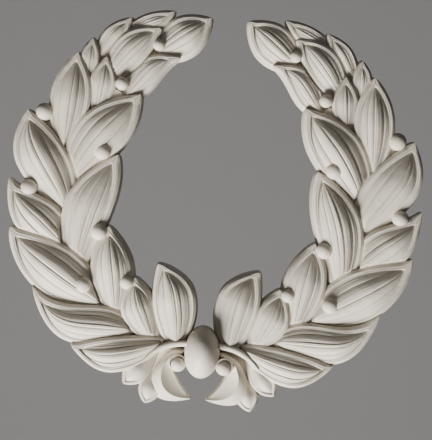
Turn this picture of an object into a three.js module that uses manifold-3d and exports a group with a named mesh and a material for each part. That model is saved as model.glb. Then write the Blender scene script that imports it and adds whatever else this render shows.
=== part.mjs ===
// Laurel wreath moulding: two mirrored branches of leaves and berries that rise from a boss,
// cast in one piece with a flat back. Millimetres, +Z up. The back lies in the plane y = 0 and
// the relief faces -y. The origin is on the back, behind the middle of the boss.
import * as THREE from 'three';
import { mergeVertices } from 'three/addons/utils/BufferGeometryUtils.js';
import Module from 'manifold-3d';

// Size of the whole casting
const WIDTH = 290;
const HEIGHT = 275;
const DEPTH = 30;

// The size that the places of the carving below are drawn for
const DRAWN_WIDTH = 290;
const DRAWN_HEIGHT = 275.7;

// Sizes of the carving, in the plane of the wall
const RIM = 2.4;
const DRAFT = 1.2;
const STEM_WIDTH = 4;
const TWIG_WIDTH = 18;
const BUD_RADIUS = 4.9;
const BUD_RING = 1.2;
const BOSS_WIDTH = 24.8;
const BOSS_HEIGHT = 36.4;

// Heights of the relief above the back, as shares of the depth
const LEAF_RISE = 0.17;
const LEAF_TIP_DROP = 0.04;
const BODY_SINK = 0.07;
const RIM_GROOVE = 0.045;
const FOLD_DEPTH = 0.035;
const BOSS_SPRING = 0.3;
const STEM_TOP = 0.5;
const GROUND_TOP = 0.17;
const BUD_TOP = 0.62;

// How a leaf is modelled: how strongly it swells as a share of its half width, how round the
// swelling is, the least share of the width that it takes, and how many rims wide the leaf has
// to be for the full swelling. The rim climbs from the base up to its full height.
const CROWN = 0.4;
const ROUNDNESS = 0.8;
const LEAST_BODY = 0.3;
const FULL_SWELL_RIMS = 2.5;
const CLIMB_END = 0.6;
const CLIMB_CURVE = 1.5;
const SHARPNESS = 0.8;
const HEEL = 0.55;

// The bud's ring, measured down from the top of the bud
const BUD_DOME = 5;
const RING_CREST = 3;
const RING_SHOULDER = 4;

// The crescent tail: stations across it from the outer edge to the inner, the station where its
// ridge runs, shares of the depth for its base, its ridge and its fall towards the tip, and how
// its swelling starts and runs on along it
const TAIL_STATIONS = [-1, -0.6, -0.1, 0.4, 1];
const TAIL_RIDGE_PLACE = -0.1;
const TAIL_HOLLOW = 1.6;
const TAIL_BASE = 0.3;
const TAIL_RIDGE = 0.19;
const TAIL_FALL = 0.07;
const TAIL_SWELL_START = 0.15;
const TAIL_SWELL_RUN = 0.8;

// Stem bands: shares of the depth for the round of their backs and their fall towards the tip,
// and how fast they widen from their two ends
const STEM_ROUND = 0.05;
const STEM_FALL = 0.1;
const BAND_START = 6;
const BAND_END = 3;

// How finely the faces are cut
const ROW_LENGTH = 11;
const FEWEST_ROWS = 5;
const TAIL_ROWS = 9;
const STEM_ROWS = 6;
const TWIG_ROWS = 9;
const WEB_ROWS = 3;
const KNOT_ROWS = 7;
const BERRY_SIDES = 10;
const BUD_SIDES = 14;
const BOSS_SIDES = 22;
const DOME_RINGS = 3;
const EDGE_STEP = 0.01;
const TINY = 1e-6;

// The leaves of the right branch, from the crown of the wreath down to the knot. Base and tip
// are places from the boss. Left and right are the edges as seen from base to tip: how far the
// edge swings out, where it is widest, how sharply it runs in, how far it sways out and back in,
// and how bluntly it leaves the base. Top is the height of the rim as a share of the depth, and
// folds is the number of strips that the swelling is cut into.
const LEAVES = [
  { base: [52, 203], tip: [13, 232], left: [14.4, 0.5], right: [13.8, 0.52], top: 0.28, folds: 3 },
  { base: [76, 216], tip: [39, 234.8], left: [7.5, 0.6], right: [5.8, 0.5], top: 0.27, folds: 2 },
  { base: [84, 180], tip: [47, 221.4], left: [7.6, 0.5], right: [15.6, 0.5], top: 0.34, folds: 3 },
  { base: [69, 171.4], tip: [32.6, 202.4], left: [5, 0.36, 1.2], right: [15, 0.52], top: 0.36, folds: 2 },
  { base: [90, 196], tip: [68.2, 228], left: [6, 0.5], right: [9.4, 0.5], top: 0.29, folds: 2 },
  { base: [96, 176], tip: [93.8, 211.6], left: [6.4, 0.6], right: [7, 0.6], top: 0.31, folds: 2 },
  { base: [90, 158], tip: [83.3, 199.4], left: [9, 0.56], right: [8, 0.58], top: 0.36, folds: 2 },
  { base: [107, 127], tip: [103.2, 200.4], left: [13, 0.58], right: [15.2, 0.54, 0.7], top: 0.37, folds: 3 },
  {
    base: [102, 107],
    tip: [57.4, 174.6],
    left: [12.4, 0.6, 0.8, 0, 0.42],
    right: [21.4, 0.49],
    top: 0.4,
    folds: 3,
  },
  { base: [103, 88], tip: [134.4, 157.8], left: [16.6, 0.4], right: [20, 0.6], top: 0.38, folds: 3 },
  { base: [88, 46], tip: [69.6, 131.8], left: [7.5, 0.66, 0.7], right: [26, 0.5], top: 0.43, folds: 3 },
  { base: [96, 60], tip: [143.2, 109.6], left: [13.5, 0.4, 1.6], right: [18, 0.52], top: 0.4, folds: 3 },
  { base: [63, 17], tip: [71.6, 82], left: [15.4, 0.5], right: [14, 0.56], top: 0.44, folds: 3 },
  {
    base: [72, 27],
    tip: [139.3, 76.3],
    left: [15.6, 0.42, 1.15],
    right: [21.5, 0.5, 0.62],
    top: 0.42,
    folds: 3,
  },
  { base: [45, 13], tip: [120.6, 36], left: [1.6, 0.4, 0.8, 4.8], right: [26.6, 0.55], top: 0.46, folds: 3 },
  {
    base: [31, 5],
    tip: [50.4, 48],
    left: [7.5, 0.55],
    right: [17.4, 0.54, 0.8, 0, 0.4],
    top: 0.47,
    folds: 2,
  },
  {
    base: [18, 3.4],
    tip: [35.2, 58.8],
    left: [20.3, 0.56, 0.75, 0, 0.38],
    right: [10.2, 0.42, 0.8, 0, 0.3],
    top: 0.5,
    folds: 3,
  },
  { base: [27, 7], tip: [90.8, -2], left: [3.6, 0.45], right: [21, 0.57], top: 0.5, folds: 3 },
];

// The two plain little leaves that spring from the knot on each side
const SMALL_LEAVES = [
  { base: [31, -3], tip: [52.4, -26.4], left: [8.8, 0.55], right: [7.7, 0.6], top: 0.36 },
  { base: [31, -14], tip: [36.6, -38.6], left: [6.6, 0.6], right: [7.4, 0.6], top: 0.31 },
];

// Berries of the right branch: place from the boss, radius, and height as a share of the depth
const BERRIES = [
  { at: [47.6, 210.3], radius: 4.2, top: 0.42 },
  { at: [71, 181.4], radius: 4.7, top: 0.47 },
  { at: [123, 157.4], radius: 6.2, top: 0.46 },
  { at: [80.4, 133.2], radius: 5.8, top: 0.56 },
  { at: [129.4, 104], radius: 6, top: 0.48 },
  { at: [78.2, 77.5], radius: 5.8, top: 0.56 },
  { at: [85.8, 39.6], radius: 5.8, top: 0.6 },
  { at: [56.3, 44.3], radius: 5, top: 0.56 },
];

// The scroll at the foot of each branch: its bud, and the crescent tail that sweeps round it
const BUD = [16.3, -8.4];
const TAIL_OUTER = [[12, 0.5], [33, 2.5], [50, -47], [5.6, -33]];
const TAIL_INNER = [[14, -4], [24, -6], [20, -20], [5.6, -33]];
const STEM = [[4, 5], [18, 6.5], [30, 3], [40, -8.5]];

// The low ground that shows only between the leaves: the stem of the branch, two webs under
// berries as line and width, and the upper and lower edge of the ground round the knot
const TWIG = [[20, 4], [130, 20], [112, 168], [40, 212]];
const WEBS = [
  { from: [112, 138], to: [125, 160], width: 10 },
  { from: [108, 100], to: [132, 102], width: 8 },
];
const KNOT_UPPER = [[2, 4], [14, 22], [34, 22], [60, -4]];
const KNOT_LOWER = [[2, 4], [14, -24], [36, -22], [60, -4]];

const wasm = await Module();
wasm.setup();

// Takes a drawn place to the real size
function place(point) {
  return point.multiply(new THREE.Vector2(WIDTH / DRAWN_WIDTH, HEIGHT / DRAWN_HEIGHT));
}

// Turns a closed geometry into a solid that can be joined to others. Points that meet are made
// one, and faces that are left without an area are dropped.
function solidFrom(geometry) {
  const bare = geometry.clone();
  bare.deleteAttribute('normal');
  bare.deleteAttribute('uv');
  const merged = mergeVertices(bare, 1e-4);
  const index = merged.index.array;
  const kept = [];
  for (let i = 0; i < index.length; i += 3) {
    const [a, b, c] = index.slice(i, i + 3);
    if (a !== b && b !== c && c !== a) kept.push(a, b, c);
  }
  return new wasm.Manifold(new wasm.Mesh({
    numProp: 3,
    vertProperties: new Float32Array(merged.attributes.position.array),
    triVerts: new Uint32Array(kept),
  }));
}

// How far a leaf's edge stands off the line from base to tip, from 0 up to 1 and back to 0
// It leaves the base more bluntly than it runs in at the tip.
function swing(t, widest, sharpness, heel) {
  const skewed = Math.pow(t, Math.log(0.5) / Math.log(widest));
  const power = skewed < 0.5 ? Math.min(sharpness, heel) : sharpness;
  return Math.pow(Math.max(Math.sin(Math.PI * skewed), 0), power);
}

// The two edges of a leaf as functions of the way from base to tip
function leafEdges(leaf) {
  const base = new THREE.Vector2(...leaf.base);
  const along = new THREE.Vector2(...leaf.tip).sub(base);
  const across = new THREE.Vector2(-along.y, along.x).normalize();
  const edge = ([width, widest, sharpness = SHARPNESS, sway = 0, heel = HEEL], side) => (t) => {
    const out = width * swing(t, widest, sharpness, heel) + sway * Math.sin(2 * Math.PI * t);
    return place(base.clone().addScaledVector(along, t).addScaledVector(across, side * out));
  };
  return [edge(leaf.left, 1), edge(leaf.right, -1)];
}

function bezier(points) {
  const places = points.map((point) => place(new THREE.Vector2(...point)));
  const curve = new THREE.CubicBezierCurve(...places);
  return (t) => curve.getPoint(t);
}

// The direction to the left of a curve, as seen along it
function leftOf(curve, t) {
  const ahead = curve(Math.min(t + EDGE_STEP, 1));
  const run = ahead.sub(curve(Math.max(t - EDGE_STEP, 0))).normalize();
  return new THREE.Vector2(-run.y, run.x);
}

// Rows lie closer together towards both ends, where the edges run in
function rowPlace(row, rows) {
  const even = row / rows;
  const bunched = (1 - Math.cos(Math.PI * even)) / 2;
  return (even + bunched) / 2;
}

// A carved strip between two edges that meet in a point at both ends. Its back is flat, its
// walls slope out by the draft, and height(t, across) gives its top, across running from -1 to 1.
function carvedStrip([leftEdge, rightEdge], height, rows, stations) {
  const vertices = [];
  const triangles = [];
  const add = (point, y) => {
    vertices.push(point.x, -y, point.y);
    return vertices.length / 3 - 1;
  };
  const moved = (point, direction, distance) => point.clone().addScaledVector(direction, distance);

  const heel = leftEdge(0);
  const tip = leftEdge(1);
  const ahead = tip.clone().sub(heel).normalize();
  const topRows = [[add(heel, height(0, 0))]];
  const backRows = [[add(moved(heel, ahead, -DRAFT), 0)]];
  for (let row = 1; row < rows; row += 1) {
    const t = rowPlace(row, rows);
    const left = leftEdge(t);
    const right = rightEdge(t);
    topRows.push(stations(t).map((across) => {
      const point = left.clone().lerp(right, (across + 1) / 2);
      return add(point, height(t, across));
    }));
    backRows.push([
      add(moved(left, leftOf(leftEdge, t), DRAFT), 0),
      add(moved(right, leftOf(rightEdge, t), -DRAFT), 0),
    ]);
  }
  topRows.push([add(tip, height(1, 0))]);
  backRows.push([add(moved(tip, ahead, DRAFT), 0)]);

  const stitch = (lower, upper, flip) => {
    const face = (a, b, c) => triangles.push(...(flip ? [a, c, b] : [a, b, c]));
    const pick = (row, i) => row[Math.min(i, row.length - 1)];
    for (let i = 0; i + 1 < Math.max(lower.length, upper.length); i += 1) {
      const [a, b] = [pick(lower, i), pick(lower, i + 1)];
      const [c, d] = [pick(upper, i), pick(upper, i + 1)];
      if (a !== b) face(a, b, c);
      if (c !== d) face(b, d, c);
    }
  };
  for (let row = 0; row < rows; row += 1) {
    const [top, nextTop] = [topRows[row], topRows[row + 1]];
    const [back, nextBack] = [backRows[row], backRows[row + 1]];
    stitch(top, nextTop, false);
    stitch(back, nextBack, true);
    stitch([back[0], top[0]], [nextBack[0], nextTop[0]], false);
    stitch([top.at(-1), back.at(-1)], [nextTop.at(-1), nextBack.at(-1)], false);
  }
  const geometry = new THREE.BufferGeometry();
  geometry.setAttribute('position', new THREE.Float32BufferAttribute(vertices, 3));
  geometry.setIndex(triangles);
  return solidFrom(geometry);
}

// How far a leaf has gone down from its highest place towards the tip, from 0 to 1
function pastClimb(t) {
  return Math.pow(Math.max((t - CLIMB_END) / (1 - CLIMB_END), 0), 2);
}

// The height of a leaf's rim: low at the base, full from the middle on, a little lower at the tip
function rimHeight(leaf, t) {
  const climbing = Math.min(t / CLIMB_END, 1);
  const below = LEAF_RISE * Math.pow(Math.cos(climbing * Math.PI / 2), CLIMB_CURVE);
  return DEPTH * (leaf.top - below - LEAF_TIP_DROP * pastClimb(t));
}

// A leaf with a raised rim and a swelling body, which is cut lengthwise by sharp folds
function carvedLeaf(leaf) {
  const [leftEdge, rightEdge] = leafEdges(leaf);
  const length = leftEdge(0).distanceTo(leftEdge(1));
  const rows = Math.max(FEWEST_ROWS, Math.round(length / ROW_LENGTH));
  const strips = leaf.folds || 1;
  const halfWidthAt = (t) => leftEdge(t).distanceTo(rightEdge(t)) / 2;
  const bodyShare = (t) => Math.max(1 - RIM / Math.max(halfWidthAt(t), TINY), LEAST_BODY);

  // Every second station of the body lies in a fold between two strips
  const stations = (t) => {
    const body = [];
    for (let i = 0; i <= 2 * strips; i += 1) body.push(bodyShare(t) * (i / strips - 1));
    return [-1, ...body, 1];
  };
  const height = (t, across) => {
    const rim = rimHeight(leaf, t);
    const along = across / bodyShare(t);
    if (Math.abs(along) > 1 + TINY || t === 0 || t === 1) return rim;
    const fullness = Math.min(1, halfWidthAt(t) / (FULL_SWELL_RIMS * RIM));
    const swell = CROWN * halfWidthAt(t) * Math.pow(Math.max(1 - along * along, 0), ROUNDNESS);
    const station = Math.round((along + 1) * strips);
    const inFold = station % 2 === 0 && station > 0 && station < 2 * strips;
    const cut = inFold ? FOLD_DEPTH * DEPTH * Math.sin(Math.PI * t) : 0;
    const sunk = DEPTH * (RIM_GROOVE + BODY_SINK * pastClimb(t));
    return rim + fullness * (swell - cut - sunk);
  };
  return carvedStrip([leftEdge, rightEdge], height, rows, stations);
}

// A turned form that stands on the back, with its profile as radius and height
function turned(profile, sides, at, stretch = 1) {
  const middle = place(new THREE.Vector2(...at));
  const geometry = new THREE.LatheGeometry(profile, sides);
  geometry.rotateX(Math.PI);
  geometry.scale(1, 1, stretch);
  geometry.translate(middle.x, 0, middle.y);
  return solidFrom(geometry);
}

// The profile of a dome from its spring to just under its top
function domeProfile(radius, spring, top) {
  const profile = [];
  for (let ring = 0; ring < DOME_RINGS; ring += 1) {
    const angle = ring / DOME_RINGS * Math.PI / 2;
    const height = spring + (top - spring) * Math.sin(angle);
    profile.push(new THREE.Vector2(radius * Math.cos(angle), height));
  }
  return profile;
}

// A berry: half a ball on a straight wall
function berry({ at, radius, top }) {
  const profile = [
    new THREE.Vector2(0, 0),
    new THREE.Vector2(radius, 0),
    ...domeProfile(radius, top * DEPTH - radius, top * DEPTH),
    new THREE.Vector2(0, top * DEPTH),
  ];
  return turned(profile, BERRY_SIDES, at);
}

// The oval boss in the middle of the knot
function boss() {
  const radius = BOSS_WIDTH / 2;
  const profile = [
    new THREE.Vector2(0, 0),
    new THREE.Vector2(radius, 0),
    ...domeProfile(radius, BOSS_SPRING * DEPTH, DEPTH),
    new THREE.Vector2(0, DEPTH),
  ];
  return turned(profile, BOSS_SIDES, [0, 0], BOSS_HEIGHT / BOSS_WIDTH);
}

// The bud in the eye of the scroll, with the ring that curls round it
function bud() {
  const top = BUD_TOP * DEPTH;
  const ring = BUD_RADIUS + BUD_RING;
  const profile = [
    new THREE.Vector2(0, 0),
    new THREE.Vector2(ring + DRAFT / 2, 0),
    new THREE.Vector2(ring, top - RING_SHOULDER),
    new THREE.Vector2(ring - BUD_RING / 2, top - RING_CREST),
    ...domeProfile(BUD_RADIUS, top - BUD_DOME, top),
    new THREE.Vector2(0, top),
  ];
  return turned(profile, BUD_SIDES, BUD);
}

// A band of even width along a curve, which runs to a point at both ends
function band(points, width, height, rows) {
  const middle = bezier(points);
  const edge = (side) => (t) => {
    const half = width / 2 * Math.min(1, BAND_START * t, BAND_END * (1 - t));
    return middle(t).addScaledVector(leftOf(middle, t), side * half);
  };
  return carvedStrip([edge(1), edge(-1)], height, rows, () => [-1, 0, 1]);
}

// The band that ties the branch to the boss
function stem() {
  const height = (t, across) => {
    const round = STEM_ROUND * (1 - across * across);
    return DEPTH * (STEM_TOP + round - STEM_FALL * t);
  };
  return band(STEM, STEM_WIDTH, height, STEM_ROWS);
}

// The low ground that closes the gaps between the leaves and round the knot
function ground() {
  const height = () => GROUND_TOP * DEPTH;
  const webs = WEBS.map(({ from, to, width }) => band([from, from, to, to], width, height, WEB_ROWS));
  const knotEdges = [bezier(KNOT_UPPER), bezier(KNOT_LOWER)];
  return [
    ...webs,
    band(TWIG, TWIG_WIDTH, height, TWIG_ROWS),
    carvedStrip(knotEdges, height, KNOT_ROWS, () => [-1, 1]),
  ];
}

// The crescent that sweeps round the bud, with a ridge between its two faces
function tail() {
  const height = (t, across) => {
    const outer = (across + 1) / (TAIL_RIDGE_PLACE + 1);
    const inner = Math.pow((1 - across) / (1 - TAIL_RIDGE_PLACE), TAIL_HOLLOW);
    const climb = across < TAIL_RIDGE_PLACE ? outer : inner;
    const fullness = Math.sin(Math.PI * (TAIL_SWELL_START + TAIL_SWELL_RUN * t));
    return DEPTH * (TAIL_BASE + TAIL_RIDGE * fullness * climb - TAIL_FALL * t);
  };
  const edges = [bezier(TAIL_OUTER), bezier(TAIL_INNER)];
  return carvedStrip(edges, height, TAIL_ROWS, () => TAIL_STATIONS);
}

// One side of the wreath: a branch with its leaves and berries, and its half of the knot
function branch() {
  return [
    ...LEAVES.map(carvedLeaf),
    ...SMALL_LEAVES.map(carvedLeaf),
    ...BERRIES.map(berry),
    ...ground(),
    stem(),
    tail(),
    bud(),
  ];
}

// Joins both branches and the boss into one solid
function wreath() {
  const half = branch();
  const mirrored = half.map((piece) => piece.mirror([1, 0, 0]));
  return wasm.Manifold.union([boss(), ...half, ...mirrored]);
}

function geometryOf(solid) {
  const mesh = solid.getMesh();
  const geometry = new THREE.BufferGeometry();
  geometry.setAttribute('position', new THREE.Float32BufferAttribute(mesh.vertProperties, 3));
  geometry.setIndex(Array.from(mesh.triVerts));
  geometry.computeVertexNormals();
  return geometry;
}

const plaster = new THREE.MeshStandardMaterial({ color: 0xded9cf, roughness: 0.7, metalness: 0 });

const part = new THREE.Group();
const casting = new THREE.Mesh(geometryOf(wreath()), plaster);
casting.name = 'laurel_wreath';
part.add(casting);

export default part;
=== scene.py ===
# A laurel wreath cast in plaster, carved leaf by leaf and seen from the front
import math

import bmesh
import bpy
from mathutils import Matrix, Vector


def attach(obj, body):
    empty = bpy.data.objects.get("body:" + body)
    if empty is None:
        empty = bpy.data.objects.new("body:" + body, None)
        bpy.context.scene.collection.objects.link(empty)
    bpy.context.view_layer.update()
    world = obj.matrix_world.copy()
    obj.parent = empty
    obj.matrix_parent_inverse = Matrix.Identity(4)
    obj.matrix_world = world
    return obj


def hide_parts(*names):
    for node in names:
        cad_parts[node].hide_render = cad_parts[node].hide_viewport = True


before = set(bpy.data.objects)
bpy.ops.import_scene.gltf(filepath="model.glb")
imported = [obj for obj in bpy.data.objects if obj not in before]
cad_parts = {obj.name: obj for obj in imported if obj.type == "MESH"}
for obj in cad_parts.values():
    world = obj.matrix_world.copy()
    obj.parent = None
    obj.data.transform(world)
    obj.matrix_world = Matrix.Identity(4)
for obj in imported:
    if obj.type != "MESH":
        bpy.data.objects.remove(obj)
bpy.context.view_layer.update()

# Lengths are in millimetres unless a name ends in _M, and MM takes them to metres
MM = 0.001
WIDTH = 290
HEIGHT = 275
DEPTH = 30

# The leaves are set out in a drawing of this size, which place() takes to the real one
DRAWN_WIDTH = 290
DRAWN_HEIGHT = 275.7

# How far a side wall spreads from the face to the back, how near the back a point counts as
# part of it, the least width of a strip, and how near two points become one
DRAFT = 1.2
BACK_MARGIN = 0.1
HAIRLINE = 1e-6
MERGE_WITHIN_M = 5e-7

# The height of a leaf's rim: how far its base lies below its top and how far its tip drops
# again, as shares of the depth, and where along the leaf and how steeply the climb ends
LEAF_RISE = 0.14
LEAF_TIP_DROP = 0.04
CLIMB_END = 0.6
CLIMB_CURVE = 1.5

# How sharply a leaf's edge runs in towards its tip, and at most towards its base
SHARPNESS = 0.8
HEEL = 0.55

# The rim's width: on a leaf of no width, more with each millimetre of leaf, more towards the
# tip, less on the small leaves, and never more than a share of the half leaf
RIM = 3.1
RIM_LEAST = 0.6
RIM_GROWTH = 0.045
RIM_TIP = 0.4
RIM_TIP_START = 0.7
RIM_TIP_RUN = 0.3
SMALL_RIM = 0.6
RIM_SHARE = 0.9

# Across a rim: how far in from the edge, and how far below the rim's crest
RIM_STEPS = [(0, 1.8), (0.6, 1.1), (1.2, 0.45), (1.7, 0.1), (2.1, 0), (2.7, 0.18)]

# The groove inside the rim. It is shallow at the base, and on a broad leaf it sinks further
# towards the tip. The blend takes it up to the rim again.
GROOVE = 0.9
GROOVE_LEAST = 0.15
GROOVE_START = 0.05
GROOVE_RUN = 0.4
TIP_SINK = 2.3
SINK_START = 0.5
BROAD_LEAF = 10
RIM_BLEND = 1.4

# The swelling between the rims: its height, the shape of its arch, how it grows in where the
# leaf is wide enough, and how much more it follows the leaf's width towards the tip
CROWN = 0.54
RIDGE = 1.5
ROUNDNESS = 0.85
FULL_RUN = 0.6
LEAN_BASE = 0.5
LEAN_MORE = 0.3
LEAN_START = 0.5
LEAN_RUN = 0.4

# The folds that cut the swelling into strips, no two of them alike
FOLD = 1.8
FOLD_SHARE = 0.6
FOLD_SHARPNESS = 0.45
FOLD_WANDER = 0.35
FOLD_EVEN = 0.8
FOLD_UNEVEN = 0.25

# The fine mark that the carver's tool left in each strip, column by column
STRIP_COLUMNS = 8
MARK_SHAPE = (0, 0.2, 0.3, 0.1, -1, 0.1, 0.3, 0.2)
TOOL_MARK = 0.34
MARK_EVEN = 0.55
MARK_UNEVEN = 0.45
MARK_BODY = 8

# Where a leaf's width is taken, and the rows of points along each piece
BROAD_PLACES = (0.4, 0.5, 0.6)
ROW_LENGTH = 1.3
LEAST_ROWS = 14
TWIG_ROWS = 40
WEB_ROWS = 8
KNOT_ROWS = 20
STEM_ROWS = 40
TAIL_ROWS = 44

# Leaves of the right branch from the crown down to the knot: base, tip, the left and right
# edges as swing, widest place, sharpness, sway and heel, the height of the rim, and the strips
LEAVES = [
    ((52, 203), (13, 232), (14.4, 0.5), (13.8, 0.52), 0.28, 4),
    ((76, 216), (39, 234.8), (7.5, 0.6), (5.8, 0.5), 0.27, 3),
    ((84, 180), (47, 221.4), (7.6, 0.5), (16.6, 0.54, 0.64), 0.34, 4),
    ((69, 171.4), (32.6, 202.4), (5, 0.36, 1.2, 1.3), (15, 0.52), 0.36, 4),
    ((90, 196), (68.2, 228), (6, 0.5), (9.4, 0.5), 0.29, 3),
    ((96, 176), (93.8, 211.6), (6.4, 0.6), (7, 0.6), 0.31, 3),
    ((89, 156), (83.3, 199.4), (10.4, 0.54), (8, 0.58), 0.36, 3),
    ((107, 127), (103.2, 200.4), (13, 0.58), (15.2, 0.54, 0.7), 0.37, 4),
    ((102, 107), (57.4, 174.6), (12.4, 0.6, 0.8, 0, 0.42), (23, 0.49), 0.4, 4),
    ((103, 88), (134.4, 157.8), (16.6, 0.4), (20, 0.6), 0.38, 4),
    ((88, 46), (69.6, 131.8), (7.5, 0.66, 0.7), (26, 0.5), 0.43, 5),
    ((96, 60), (143.2, 109.6), (13.5, 0.4, 1.6), (18, 0.52), 0.4, 4),
    ((63, 17), (71.6, 82), (15.4, 0.5), (14, 0.56), 0.44, 4),
    ((72, 27), (139.3, 76.3), (15.6, 0.42, 1.15), (21.5, 0.5, 0.62), 0.42, 4),
    ((45, 13), (120.6, 36), (1.6, 0.4, 0.8, 4.8), (26.6, 0.55), 0.46, 5),
    ((31, 5), (50.4, 48), (7.5, 0.55), (17.4, 0.54, 0.8, 0, 0.4), 0.47, 4),
    ((18, 3.4), (35.2, 58.8), (20, 0.56, 0.75, 0, 0.38), (10.2, 0.42, 0.8, 0, 0.3), 0.5, 4),
    ((27, 7), (90.8, -2), (3.6, 0.45), (21, 0.57, 0.8, 0, 0.42), 0.5, 4),
]

# Each leaf lies over those before it in this order. Where it does, the leaf below is cut down
# to this far under its rim, from a little outside its edge.
OVERLAP = [1, 2, 5, 6, 4, 3, 7, 8, 9, 10, 12, 11, 14, 13, 15, 16, 17, 18]
TUCK = 2.1
TUCK_RUN = 1.3

# These leaves roll down on their left side: how far, how far in, and how soon it starts after
# the base and ends before the tip
ROUNDED_OFF = (13, 16)
ROUND_DROP = 1.8
ROUND_RUN = 5
ROUND_START = 4
ROUND_END = 6

SMALL_LEAVES = [
    ((31, -3), (52.4, -26.4), (8.8, 0.55), (7.7, 0.6), 0.36, 1),
    ((31, -14), (36.6, -38.6), (6.6, 0.6), (7.4, 0.6), 0.31, 1),
]

# Berries: place, radius, and height as a share of the depth
BERRIES = [
    ((47.6, 210.3), 4.2, 0.42),
    ((71, 181.4), 4.7, 0.47),
    ((123, 157.4), 6.2, 0.46),
    ((80.4, 133.2), 5.8, 0.56),
    ((129.4, 104), 6, 0.48),
    ((78.2, 77.5), 5.8, 0.56),
    ((85.8, 39.6), 5.8, 0.6),
    ((56.3, 44.3), 5, 0.56),
]

# Segments and rings of a ball
BERRY_MESH = (32, 20)
BOSS_MESH = (96, 48)

# The boss, which is cut at its spring and goes straight down from there
BOSS_WIDTH = 24.8
BOSS_HEIGHT = 36.4
BOSS_SPRING = 0.3

# The bud and the ring that curls round it
BUD = (16.3, -8.4)
BUD_SHIFT = (-0.4, -0.9)
BUD_RADIUS = 4.9
BUD_OVERSIZE = 0.1
BUD_DOME = 5
BUD_TOP = 0.62
BUD_RING = 1.2
RING_SIDES = 48
RING_BELOW_BUD = 3.2
RING_ROUND = 0.55
RING_ROUND_STEPS = 3
RING_LIP = 0.5
RING_HOLLOW = 1.8
FACING_FRONT = -0.9

# The crescent tail: its edges, the place and height of its ridge, how its outer face climbs and
# its inner face hollows, and how it swells and falls along its length
TAIL_OUTER = [(12, 0.5), (33, 2.5), (50, -47), (5.6, -33)]
TAIL_INNER = [(14, -4), (24, -6), (20, -20), (5.6, -33)]
TAIL_COLUMNS = 20
TAIL_RIDGE_PLACE = -0.1
TAIL_BASE = 0.3
TAIL_RIDGE = 0.19
TAIL_CLIMB = 0.75
TAIL_HOLLOW = 1.6
TAIL_SWELL_START = 0.15
TAIL_SWELL_RUN = 0.8
TAIL_FALL = 0.07

# The stem that runs from the boss over the lowest leaf
STEM = [(4, 5), (18, 6.5), (30, 3), (40, -8.5)]
STEM_WIDTH = 4
STEM_COLUMNS = 10
STEM_TOP = 0.5
STEM_ROUND = 0.05
STEM_FALL = 0.1

# The flat ground that fills the gaps: a twig, webs between leaves, the knot's ground, and a
# low rise beside the second berry. A band reaches its full width soon after both ends.
TWIG = [(20, 4), (130, 20), (112, 168), (40, 212)]
TWIG_WIDTH = 18
WEBS = [((112, 138), (125, 160), 10), ((108, 100), (132, 102), 8)]
KNOT_UPPER = [(2, 4), (14, 22), (34, 22), (60, -4)]
KNOT_LOWER = [(2, 4), (14, -24), (36, -22), (60, -4)]
GROUND_TOP = 0.17
KNOLL = ((71, 175), (89, 160), 9)
KNOLL_TOP = 0.25
FLAT_COLUMNS = 4
BAND_START = 6
BAND_END = 3

# Faces that meet at less than this angle are shaded as one
SMOOTH_ANGLE = 32

# The plaster's colour in its darker and lighter clouds, and how dull it is
CLOUD_NOISE = (28, 4, 0.6)
CLOUD_ENDS = (0.3, 0.7)
DARKER_PLASTER = (0.65, 0.6, 0.52, 1)
LIGHTER_PLASTER = (0.73, 0.685, 0.61, 1)
DULL_NOISE = (160, 3)
DULL_RANGE = (0.42, 0.6)
PLASTER_SHINE = 0.35

# The plaster's surface: the noise, and how strong and how deep in metres its bumps are
PORES = ((1800, 3, 0.6), 0.25, 0.0002)
SWELLS = ((220, 2, 0.5), 0.3, 0.0006)
TOOL_LINES = ((1, 2), 0.9, 0.0009)
LINES_ACROSS = 40
LINES_ALONG = 1.5

# A floor that the wreath hangs over, and a wall far behind it
PALE_PAINT = (0.56, 0.55, 0.56)
PAINT_ROUGHNESS = 0.9
PANEL_M = 9
FLOOR_PLACE_M = (0, 0, -1.5)
WALL_PLACE_M = (0, 2.6, 2)

# Lamps, which are aimed at the wreath: place, width, watts and colour
KEY_LAMP = ((-0.6, -0.72, -1.3), 0.95, 69, (1, 0.98, 0.94))
FILL_LAMP = ((-0.6, -1.9, 0.5), 1.2, 2, (1, 0.97, 0.93))
LAMP_TARGET_M = (0, 0, 0.1)
ROOM_LIGHT = (0.95, 0.96, 1, 1)
ROOM_STRENGTH = 0.07

# The view: how far it is turned, its middle and height on the wreath, and the camera's distance
VIEW_TURN = 4.9
VIEW_MIDDLE = (1.9, -8, 92.2)
VIEW_HEIGHT = 305.5
VIEW_DISTANCE_M = 1.1
SENSOR_HEIGHT = 24
NEAREST_SEEN_M = 0.05


def place(x, z):
    return Vector((x * WIDTH / DRAWN_WIDTH, z * HEIGHT / DRAWN_HEIGHT))


def on_the_wall(point, height):
    return Vector((point.x, -height, point.y)) * MM


def smooth(share):
    share = min(max(share, 0), 1)
    return share * share * (3 - 2 * share)


def full_in_the_middle(t):
    """Rises quickly from nothing at one end of a leaf, and falls as quickly at the other"""
    return math.sin(math.pi * t) ** 0.5


def swing(t, widest, sharpness, heel):
    skewed = t ** (math.log(0.5) / math.log(widest))
    power = min(sharpness, heel) if skewed < 0.5 else sharpness
    return max(math.sin(math.pi * skewed), 0) ** power


def swing_out(t, width, widest, sharpness=SHARPNESS, sway=0, heel=HEEL):
    return width * swing(t, widest, sharpness, heel) + sway * math.sin(2 * math.pi * t)


def leaf_edge(base, tip, side, bow):
    base, along = Vector(base), Vector(tip) - Vector(base)
    across = Vector((-along.y, along.x)).normalized() * side

    def edge(t):
        point = base + along * t + across * swing_out(t, *bow)
        return place(point.x, point.y)

    return edge


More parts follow.
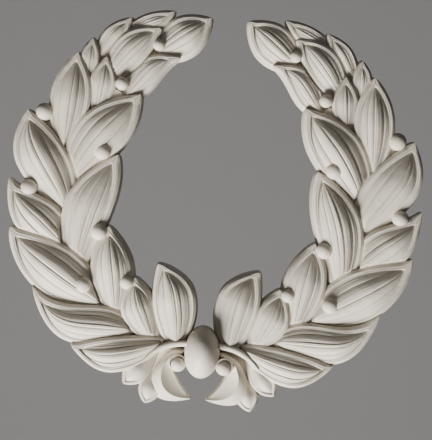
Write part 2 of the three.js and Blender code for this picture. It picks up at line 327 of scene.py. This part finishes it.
def rim_height(leaf_top, t):
    climbing = min(t / CLIMB_END, 1)
    past = max((t - CLIMB_END) / (1 - CLIMB_END), 0)
    below = LEAF_RISE * math.cos(climbing * math.pi / 2) ** CLIMB_CURVE
    return DEPTH * (leaf_top - below - LEAF_TIP_DROP * past * past)


def tucked(point, height, covering):
    """The height of a leaf's face at a place, cut down where another leaf lies over it"""
    at = Vector((point.x * DRAWN_WIDTH / WIDTH, point.y * DRAWN_HEIGHT / HEIGHT))
    for base, tip, left, right, top, _ in covering:
        along = Vector(tip) - Vector(base)
        away = at - Vector(base)
        t = away.dot(along) / along.length_squared
        if not 0 < t < 1:
            continue
        out = (along.x * away.y - along.y * away.x) / along.length
        if not -right[0] - TUCK_RUN < out < left[0] + abs(left[-1]) + TUCK_RUN:
            continue
        inside = min(swing_out(t, *left) - out, swing_out(t, *right) + out)
        lowered = min(height, rim_height(top, t) - TUCK)
        height += (lowered - height) * smooth((inside + TUCK_RUN) / TUCK_RUN)
    return height


def bezier(points):
    a, b, c, d = [place(*point) for point in points]

    def curve(t):
        s = 1 - t
        return a * s ** 3 + b * 3 * s * s * t + c * 3 * s * t * t + d * t ** 3

    return curve


def left_of(curve, t):
    a_little = 0.01
    run = curve(min(t + a_little, 1)) - curve(max(t - a_little, 0))
    return Vector((-run.y, run.x)).normalized()


def take(piece):
    """Makes one object the only selected and active one"""
    bpy.ops.object.select_all(action="DESELECT")
    piece.select_set(True)
    bpy.context.view_layer.objects.active = piece


def settle(piece):
    """Leaves the object's place in its mesh"""
    take(piece)
    bpy.ops.object.transform_apply(location=True, rotation=True, scale=True)


def mend_normals():
    bpy.ops.mesh.select_all(action="SELECT")
    bpy.ops.mesh.normals_make_consistent(inside=False)
    bpy.ops.object.mode_set(mode="OBJECT")


def row_place(line, rows):
    """How far along a strip a line of points lies, closer together towards both ends"""
    even = min(max((line - 1) / rows, 0), 1)
    return (even + (1 - math.cos(math.pi * even)) / 2) / 2


def relief_at(profile, t, half):
    """The profile there, level where the edges meet"""
    relief = profile(t, half)
    if half < HAIRLINE:
        crown = relief[len(relief) // 2][1]
        relief = [(share, crown) for share, height in relief]
    return relief


def carve_strip(name, edges, profile, rows, covering=()):
    """Lays a grid between two edges that meet at both ends, with its walls down to the back"""
    left, right = edges
    sample = profile(0.5, (left(0.5) - right(0.5)).length / 2)
    columns = len(sample) + 1
    bpy.ops.object.select_all(action="DESELECT")
    bpy.ops.mesh.primitive_grid_add(x_subdivisions=columns, y_subdivisions=rows + 2, size=2)
    strip = bpy.context.object
    strip.name = name
    heel, tip = left(0), left(1)
    ahead = (tip - heel).normalized()
    lines = {}
    for vertex in strip.data.vertices:
        column = round((vertex.co.x + 1) / 2 * columns)
        line = round((vertex.co.y + 1) / 2 * (rows + 2))
        if line not in lines:
            t = row_place(line, rows)
            lines[line] = (t, relief_at(profile, t, (left(t) - right(t)).length / 2))
        t, relief = lines[line]
        outside = column in (0, columns)
        if line == 0 or (line == 1 and outside):
            vertex.co = on_the_wall(heel - ahead * DRAFT, 0)
        elif line == rows + 2 or (line == rows + 1 and outside):
            vertex.co = on_the_wall(tip + ahead * DRAFT, 0)
        elif column == 0:
            vertex.co = on_the_wall(left(t) + left_of(left, t) * DRAFT, 0)
        elif column == columns:
            vertex.co = on_the_wall(right(t) - left_of(right, t) * DRAFT, 0)
        else:
            share, height = relief[column - 1]
            point = left(t).lerp(right(t), share)
            vertex.co = on_the_wall(point, tucked(point, height, covering))
    bpy.ops.object.mode_set(mode="EDIT")
    bpy.ops.mesh.select_all(action="SELECT")
    bpy.ops.mesh.remove_doubles(threshold=MERGE_WITHIN_M)
    bpy.ops.mesh.select_all(action="SELECT")
    bpy.ops.mesh.region_to_loop()
    bpy.ops.mesh.edge_face_add()
    mend_normals()
    return strip


def fold_places(strips, number):
    """Where the folds run between one side of the swelling, at -1, and the other, at 1"""
    folds = [-1 + 2 * fold / strips for fold in range(strips + 1)]
    for fold in range(1, strips):
        folds[fold] += FOLD_WANDER / strips * math.sin(4 * fold + 5 * number)
    return folds


def rim_at(t, widest, strips):
    """The rim's width at a place along a leaf"""
    width = RIM * (RIM_LEAST + RIM_GROWTH * widest)
    width *= 1 + RIM_TIP * smooth((t - RIM_TIP_START) / RIM_TIP_RUN)
    return width * SMALL_RIM if strips == 1 else width


def groove_at(t, widest):
    """How far the groove lies below the rim's crest"""
    depth = GROOVE * (GROOVE_LEAST + (1 - GROOVE_LEAST) * smooth((t - GROOVE_START) / GROOVE_RUN))
    broad = min(widest / BROAD_LEAF, 1)
    return depth + TIP_SINK * smooth((t - SINK_START) / (1 - SINK_START)) * broad


def rolled_down(t, inward):
    """How far a rounded leaf drops near its left edge"""
    near_edge = 1 - smooth(inward / ROUND_RUN)
    return ROUND_DROP * near_edge * smooth(ROUND_START * t) * smooth(ROUND_END * (1 - t))


def leaf_profile(leaf_top, strips, widest, number):
    """The cross section of a leaf: a rounded rim, a groove, and a swelling cut by sharp folds"""
    folds = fold_places(strips, number)

    def fold_cut(t, body, strip, step):
        fold = strip if step < STRIP_COLUMNS / 2 else strip + 1
        if not (0 < fold < strips and 0 < t < 1):
            return 0
        away = min(step, STRIP_COLUMNS - step) / STRIP_COLUMNS
        depth = min(FOLD, FOLD_SHARE * body / strips) * full_in_the_middle(t)
        depth *= FOLD_EVEN + FOLD_UNEVEN * math.sin(3 * fold + 2 * number)
        return depth * (1 - (2 * away) ** FOLD_SHARPNESS)

    def tool_mark(t, body, strip, step):
        if strips == 1 or step in (0, STRIP_COLUMNS):
            return 0
        mark = MARK_SHAPE[step] * TOOL_MARK * full_in_the_middle(t)
        uneven = MARK_EVEN + MARK_UNEVEN * math.sin(3 * t + 2 * strip + number)
        return mark * (uneven * min(1, body / MARK_BODY))

    def profile(t, half):
        crest = rim_height(leaf_top, t)
        rim_width = rim_at(t, widest, strips)
        squeeze = min(1, RIM_SHARE * half / rim_width)
        fullness = smooth((half - RIM_SHARE * rim_width) / (FULL_RUN * rim_width))
        body = half - rim_width * squeeze
        width = max(2 * half, HAIRLINE)
        hollow = groove_at(t, widest)
        shrink = squeeze * rim_width / RIM
        lean = LEAN_BASE + LEAN_MORE * smooth((t - LEAN_START) / LEAN_RUN)
        crown = CROWN * max(body, 0) ** lean * widest ** (1 - lean)
        rim = [(shrink * inward / width, crest - drop * squeeze) for inward, drop in RIM_STEPS]
        middle = []
        for column in range(strips * STRIP_COLUMNS + 1):
            strip, step = divmod(column, STRIP_COLUMNS)
            if strip == strips:
                strip, step = strips - 1, STRIP_COLUMNS
            along = folds[strip] + (folds[strip + 1] - folds[strip]) * step / STRIP_COLUMNS
            swell = crown * (1 - abs(along) ** RIDGE) ** ROUNDNESS
            cut = fold_cut(t, body, strip, step)
            mark = tool_mark(t, body, strip, step)
            blend = smooth((1 - abs(along)) * body / RIM_BLEND)
            height = crest + blend * fullness * (swell - cut - hollow + mark)
            middle.append((0.5 + along * body / width, height))
        other = [(1 - share, height) for share, height in reversed(rim)]
        relief = rim + middle + other
        if number in ROUNDED_OFF:
            relief = [(share, height - rolled_down(t, share * width)) for share, height in relief]
        return relief

    return profile


def carve_leaf(name, number, base, tip, left, right, top, strips, covering=()):
    edges = (leaf_edge(base, tip, 1, left), leaf_edge(base, tip, -1, right))
    length = (edges[0](1) - edges[0](0)).length
    widest = max((edges[0](t) - edges[1](t)).length / 2 for t in BROAD_PLACES) - RIM
    rows = max(LEAST_ROWS, round(length / ROW_LENGTH))
    return carve_strip(name, edges, leaf_profile(top, strips, widest, number), rows, covering)


def set_back(dome, spring):
    """Cuts a ball through at its spring and takes the cut face straight down to the back"""
    settle(dome)
    bpy.ops.object.mode_set(mode="EDIT")
    bpy.ops.mesh.select_all(action="SELECT")
    bpy.ops.mesh.bisect(
        plane_co=(0, -spring * MM, 0), plane_no=(0, 1, 0), use_fill=True, clear_outer=True
    )
    bpy.ops.mesh.extrude_region_move(TRANSFORM_OT_translate={"value": (0, spring * MM, 0)})
    mend_normals()


def model_ball(name, at, radii, spring, ball_mesh):
    """A ball with its poles to front and back, with the given half width, height and rise"""
    middle = place(*at)
    segments, rings = ball_mesh
    bpy.ops.object.select_all(action="DESELECT")
    bpy.ops.mesh.primitive_uv_sphere_add(
        segments=segments, ring_count=rings, radius=MM, rotation=(math.pi / 2, 0, 0)
    )
    ball = bpy.context.object
    ball.name = name
    settle(ball)
    ball.scale = (radii[0], radii[2], radii[1])
    ball.location = on_the_wall(middle, spring)
    set_back(ball, spring)
    return ball


def select_faces(piece, chosen):
    """Selects some of a piece's faces in edit mode, and no others"""
    bpy.ops.mesh.select_all(action="DESELECT")
    shell = bmesh.from_edit_mesh(piece.data)
    for face in chosen(shell.faces):
        face.select_set(True)
    bmesh.update_edit_mesh(piece.data)


def model_ring():
    """The ring that curls round the bud: a drum with a hollow top and rounded edges"""
    middle = place(*BUD)
    outer = BUD_RADIUS + BUD_RING
    high = BUD_TOP * DEPTH - RING_BELOW_BUD
    bpy.ops.object.select_all(action="DESELECT")
    bpy.ops.mesh.primitive_cylinder_add(
        vertices=RING_SIDES, radius=outer * MM, depth=high * MM, rotation=(math.pi / 2, 0, 0),
        location=on_the_wall(middle, high / 2),
    )
    ring = bpy.context.object
    ring.name = "bud_ring"
    settle(ring)
    bpy.ops.object.mode_set(mode="EDIT")
    bpy.ops.mesh.select_mode(type="FACE")
    select_faces(ring, lambda faces: [face for face in faces if face.normal.y < FACING_FRONT])
    bpy.ops.mesh.bevel(offset=RING_ROUND * MM, segments=RING_ROUND_STEPS, affect="EDGES")
    select_faces(ring, lambda faces: [min(faces, key=lambda face: face.calc_center_median().y)])
    bpy.ops.mesh.inset(thickness=RING_LIP * MM)
    bpy.ops.mesh.extrude_region_move(TRANSFORM_OT_translate={"value": (0, RING_HOLLOW * MM, 0)})
    mend_normals()
    return ring


def model_bud():
    radius = BUD_RADIUS + BUD_OVERSIZE
    at = (BUD[0] + BUD_SHIFT[0], BUD[1] + BUD_SHIFT[1])
    radii = (radius, radius, BUD_DOME)
    return model_ball("bud", at, radii, BUD_TOP * DEPTH - BUD_DOME, BERRY_MESH)


def band_edges(points, width):
    middle = bezier(points)

    def edge(side):
        def at(t):
            half = width / 2 * min(1, BAND_START * t, BAND_END * (1 - t))
            return middle(t) + left_of(middle, t) * side * half

        return at

    return edge(1), edge(-1)


def stem_profile(t, half):
    profile = []
    for step in range(STEM_COLUMNS + 1):
        share = step / STEM_COLUMNS
        arch = (1 - (2 * share - 1) ** 2) ** 0.5
        profile.append((share, DEPTH * (STEM_TOP + STEM_ROUND * arch - STEM_FALL * t)))
    return profile


def flat_profile(top):
    return lambda t, half: [(step / FLAT_COLUMNS, DEPTH * top) for step in range(FLAT_COLUMNS + 1)]


def tail_profile(t, half):
    """A broad outer face, a ridge, and a hollow inner face"""
    profile = []
    for step in range(TAIL_COLUMNS + 1):
        share = step / TAIL_COLUMNS
        across = 2 * step / TAIL_COLUMNS - 1
        outer = max((across + 1) / (TAIL_RIDGE_PLACE + 1), 0) ** TAIL_CLIMB
        inner = max((1 - across) / (1 - TAIL_RIDGE_PLACE), 0) ** TAIL_HOLLOW
        climb = outer if across < TAIL_RIDGE_PLACE else inner
        fullness = math.sin(math.pi * (TAIL_SWELL_START + TAIL_SWELL_RUN * t))
        height = TAIL_BASE + TAIL_RIDGE * fullness * climb - TAIL_FALL * t
        profile.append((share, DEPTH * height))
    return profile


def lay_ground(name, start, end, width, top):
    """A straight flat band from one place to another"""
    edges = band_edges([start, start, end, end], width)
    return carve_strip(name, edges, flat_profile(top), WEB_ROWS)


def without_lines(piece, faces):
    """Gathers the UV map of some faces in one point, so that the tool lines leave them smooth"""
    spots = piece.data.uv_layers.active.uv
    for face in faces:
        for loop in face.loop_indices:
            spots[loop].vector = (0, 0)


def walls_and_back(piece):
    points = piece.data.vertices
    behind = [point.co.y > -BACK_MARGIN * MM for point in points]
    return [face for face in piece.data.polygons if any(behind[corner] for corner in face.vertices)]


def unite(whole, piece):
    """Joins a piece to the casting, so that only the outside is left"""
    modifier = whole.modifiers.new("join", "BOOLEAN")
    modifier.operation = "UNION"
    modifier.solver = "MANIFOLD"
    modifier.object = piece
    take(whole)
    bpy.ops.object.modifier_apply(modifier=modifier.name)
    bpy.data.objects.remove(piece, do_unlink=True)


def carve_branch():
    """The right branch with its half of the knot, as one closed piece"""
    ground = flat_profile(GROUND_TOP)
    pieces = [carve_strip("twig", band_edges(TWIG, TWIG_WIDTH), ground, TWIG_ROWS)]
    for number, web in enumerate(WEBS, 1):
        pieces.append(lay_ground(f"web_{number}", *web, GROUND_TOP))
    pieces.append(lay_ground("knoll", *KNOLL, KNOLL_TOP))
    knot_edges = (bezier(KNOT_UPPER), bezier(KNOT_LOWER))
    pieces.append(carve_strip("knot_ground", knot_edges, ground, KNOT_ROWS))
    for number, leaf in enumerate(LEAVES, 1):
        over = OVERLAP[OVERLAP.index(number) + 1:]
        covering = [LEAVES[other - 1] for other in over]
        pieces.append(carve_leaf(f"leaf_{number}", number, *leaf, covering))
    for number, leaf in enumerate(SMALL_LEAVES, 1):
        pieces.append(carve_leaf(f"small_leaf_{number}", number, *leaf))
    for number, (at, radius, top) in enumerate(BERRIES, 1):
        spring = top * DEPTH - radius
        pieces.append(model_ball(f"berry_{number}", at, (radius,) * 3, spring, BERRY_MESH))
    pieces.append(carve_strip("stem", band_edges(STEM, STEM_WIDTH), stem_profile, STEM_ROWS))
    tail_edges = (bezier(TAIL_OUTER), bezier(TAIL_INNER))
    pieces.append(carve_strip("tail", tail_edges, tail_profile, TAIL_ROWS))
    pieces.append(model_ring())
    pieces.append(model_bud())
    for piece in pieces:
        carved = piece.name.startswith("leaf")
        without_lines(piece, walls_and_back(piece) if carved else piece.data.polygons)
    branch = pieces[0]
    for piece in pieces[1:]:
        unite(branch, piece)
    return branch


def mirrored(branch):
    """The left branch, turned over from the right one"""
    take(branch)
    bpy.ops.object.duplicate()
    other = bpy.context.object
    bpy.ops.object.mode_set(mode="EDIT")
    bpy.ops.mesh.select_all(action="SELECT")
    bpy.ops.transform.resize(value=(-1, 1, 1), center_override=(0, 0, 0))
    mend_normals()
    return other


def carve_wreath():
    branch = carve_branch()
    other = mirrored(branch)
    boss_radii = (BOSS_WIDTH / 2, BOSS_HEIGHT / 2, DEPTH * (1 - BOSS_SPRING))
    wreath = model_ball("wreath", (0, 0), boss_radii, BOSS_SPRING * DEPTH, BOSS_MESH)
    without_lines(wreath, wreath.data.polygons)
    unite(wreath, branch)
    unite(wreath, other)
    take(wreath)
    bpy.ops.object.shade_smooth_by_angle(angle=math.radians(SMOOTH_ANGLE))
    return wreath


def plaster():
    """Cast plaster: warm white, matt to satin, with faint clouds, fine pores and tool lines"""
    material = bpy.data.materials.new("cast_plaster")
    material.use_nodes = True
    nodes, links = material.node_tree.nodes, material.node_tree.links
    shader = nodes["Principled BSDF"]
    where = nodes.new("ShaderNodeTexCoord")

    def noise(scale, detail, roughness=0.5, source=where.outputs["Object"]):
        texture = nodes.new("ShaderNodeTexNoise")
        texture.inputs["Scale"].default_value = scale
        texture.inputs["Detail"].default_value = detail
        texture.inputs["Roughness"].default_value = roughness
        links.new(source, texture.inputs["Vector"])
        return texture.outputs["Fac"]

    def bump(pattern, strength, distance_m, under=None):
        node = nodes.new("ShaderNodeBump")
        node.inputs["Strength"].default_value = strength
        node.inputs["Distance"].default_value = distance_m
        links.new(pattern, node.inputs["Height"])
        if under is not None:
            links.new(under, node.inputs["Normal"])
        return node.outputs["Normal"]

    tint = nodes.new("ShaderNodeValToRGB")
    ends = zip(tint.color_ramp.elements, CLOUD_ENDS, (DARKER_PLASTER, LIGHTER_PLASTER))
    for end, position, colour in ends:
        end.position = position
        end.color = colour
    links.new(noise(*CLOUD_NOISE), tint.inputs["Fac"])
    links.new(tint.outputs["Color"], shader.inputs["Base Color"])

    dull = nodes.new("ShaderNodeMapRange")
    dull.inputs["To Min"].default_value, dull.inputs["To Max"].default_value = DULL_RANGE
    links.new(noise(*DULL_NOISE), dull.inputs["Value"])
    links.new(dull.outputs["Result"], shader.inputs["Roughness"])
    shader.inputs["Specular IOR Level"].default_value = PLASTER_SHINE

    along_leaf = nodes.new("ShaderNodeMapping")
    along_leaf.inputs["Scale"].default_value = (LINES_ACROSS, LINES_ALONG, 1)
    links.new(where.outputs["UV"], along_leaf.inputs["Vector"])
    pores, pore_strength, pore_depth = PORES
    swells, swell_strength, swell_depth = SWELLS
    streaks, line_strength, line_depth = TOOL_LINES
    surface = bump(noise(*pores), pore_strength, pore_depth)
    surface = bump(noise(*swells), swell_strength, swell_depth, surface)
    streaks = noise(*streaks, source=along_leaf.outputs["Vector"])
    surface = bump(streaks, line_strength, line_depth, surface)
    links.new(surface, shader.inputs["Normal"])
    return material


def plain(name, colour, roughness):
    material = bpy.data.materials.new(name)
    material.use_nodes = True
    shader = material.node_tree.nodes["Principled BSDF"]
    shader.inputs["Base Color"].default_value = (*colour, 1)
    shader.inputs["Roughness"].default_value = roughness
    return material


def lay_stage():
    """A pale floor that the wreath hangs over, and a pale wall far behind it"""
    pale = plain("pale_paint", PALE_PAINT, PAINT_ROUGHNESS)
    bpy.ops.object.select_all(action="DESELECT")
    bpy.ops.mesh.primitive_plane_add(size=PANEL_M, location=FLOOR_PLACE_M)
    floor = bpy.context.object
    floor.name = "floor"
    bpy.ops.mesh.primitive_plane_add(
        size=PANEL_M, location=WALL_PLACE_M, rotation=(math.pi / 2, 0, 0)
    )
    backdrop = bpy.context.object
    backdrop.name = "backdrop"
    for panel in (floor, backdrop):
        panel.data.materials.append(pale)


def add_lamp(name, place_m, size_m, watts, colour):
    bpy.ops.object.light_add(type="AREA", location=place_m)
    lamp = bpy.context.object
    lamp.name = name
    lamp.data.shape = "DISK"
    lamp.data.size = size_m
    lamp.data.energy = watts
    lamp.data.color = colour
    aim = Vector(LAMP_TARGET_M) - Vector(place_m)
    lamp.rotation_euler = aim.to_track_quat("-Z", "Y").to_euler()


def light_the_room():
    """A soft lamp from below on the left, a weak one from above, and faint light all round"""
    add_lamp("key_lamp", *KEY_LAMP)
    add_lamp("fill_lamp", *FILL_LAMP)
    world = bpy.context.scene.world or bpy.data.worlds.new("room")
    bpy.context.scene.world = world
    world.use_nodes = True
    sky = world.node_tree.nodes["Background"]
    sky.inputs["Color"].default_value = ROOM_LIGHT
    sky.inputs["Strength"].default_value = ROOM_STRENGTH
    bpy.context.scene.view_settings.look = "AgX - Medium High Contrast"


def set_up_camera():
    """A straight view from the front, turned a little as the wreath hangs"""
    roll = math.radians(VIEW_TURN)
    right = Vector((math.cos(roll), 0, math.sin(roll)))
    up = Vector((-math.sin(roll), 0, math.cos(roll)))
    toward = Vector((0, -1, 0))
    bpy.ops.object.camera_add()
    camera = bpy.context.object
    turned = Matrix((right, up, toward)).transposed().to_4x4()
    middle = Vector(VIEW_MIDDLE) * MM
    camera.matrix_world = Matrix.Translation(middle + toward * VIEW_DISTANCE_M) @ turned
    camera.data.sensor_fit = "VERTICAL"
    camera.data.sensor_height = SENSOR_HEIGHT
    camera.data.lens = SENSOR_HEIGHT / 2 / (VIEW_HEIGHT * MM / 2 / VIEW_DISTANCE_M)
    camera.data.clip_start = NEAREST_SEEN_M
    bpy.context.scene.camera = camera


wreath = carve_wreath()
wreath.data.materials.clear()
wreath.data.materials.append(plaster())
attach(wreath, "root")
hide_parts("laurel_wreath")
lay_stage()
light_the_room()
set_up_camera()
